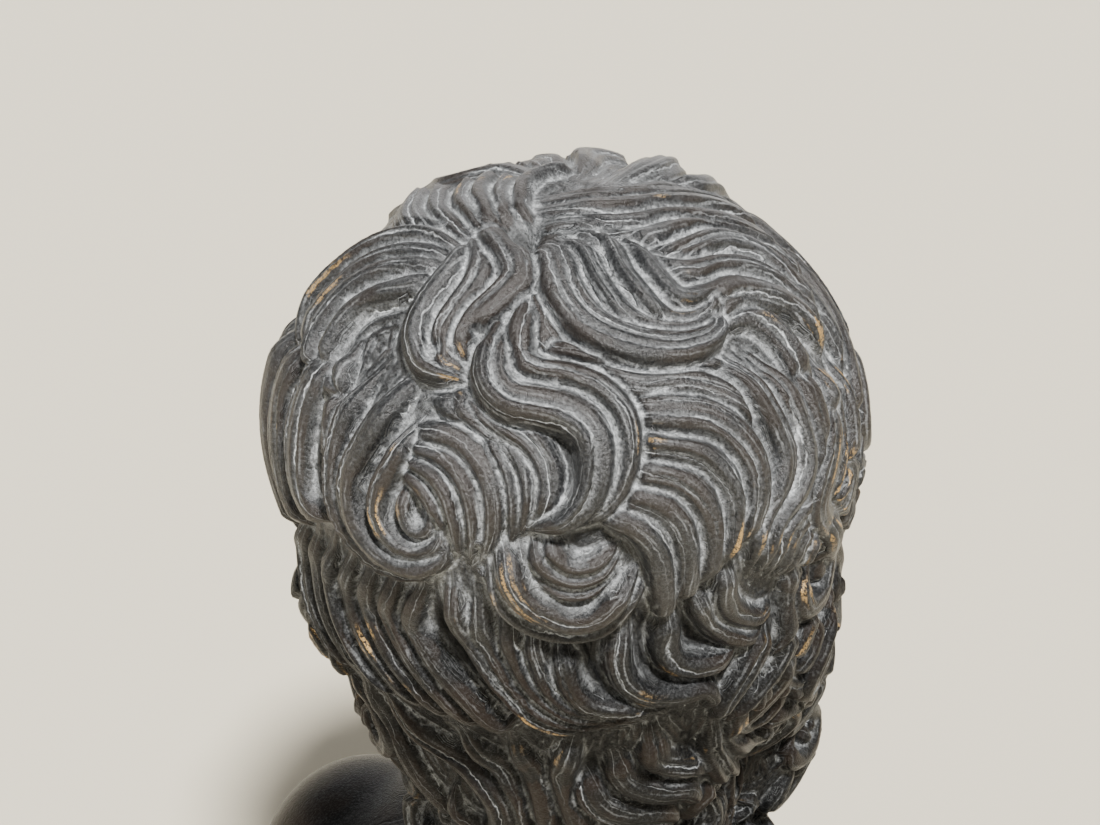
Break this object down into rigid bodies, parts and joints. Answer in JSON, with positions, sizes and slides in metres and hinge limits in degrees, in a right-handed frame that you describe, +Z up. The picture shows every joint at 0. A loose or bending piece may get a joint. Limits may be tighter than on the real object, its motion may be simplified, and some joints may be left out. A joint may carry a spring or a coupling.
{
  "type": "bronze bust",
  "caption": "Life-size cast bronze bust of a bearded man in the classical manner, with thick wavy locks, a curled beard and short bare shoulders, cut flat below.",
  "frame": {"origin": "centre of the bounding box on the flat underside", "axes": "+Z up along the height, -Y the way the face looks, +X to the figure's own left hand"},
  "size_m": [0.293, 0.2438, 0.4319],
  "materials": {
    "bronze": "dark patinated bronze, near black with pale dust in the grooves and brown rubbed ridges"
  },
  "bodies": {
    "root": {"bust": "bronze"}
  },
  "joints": []
}
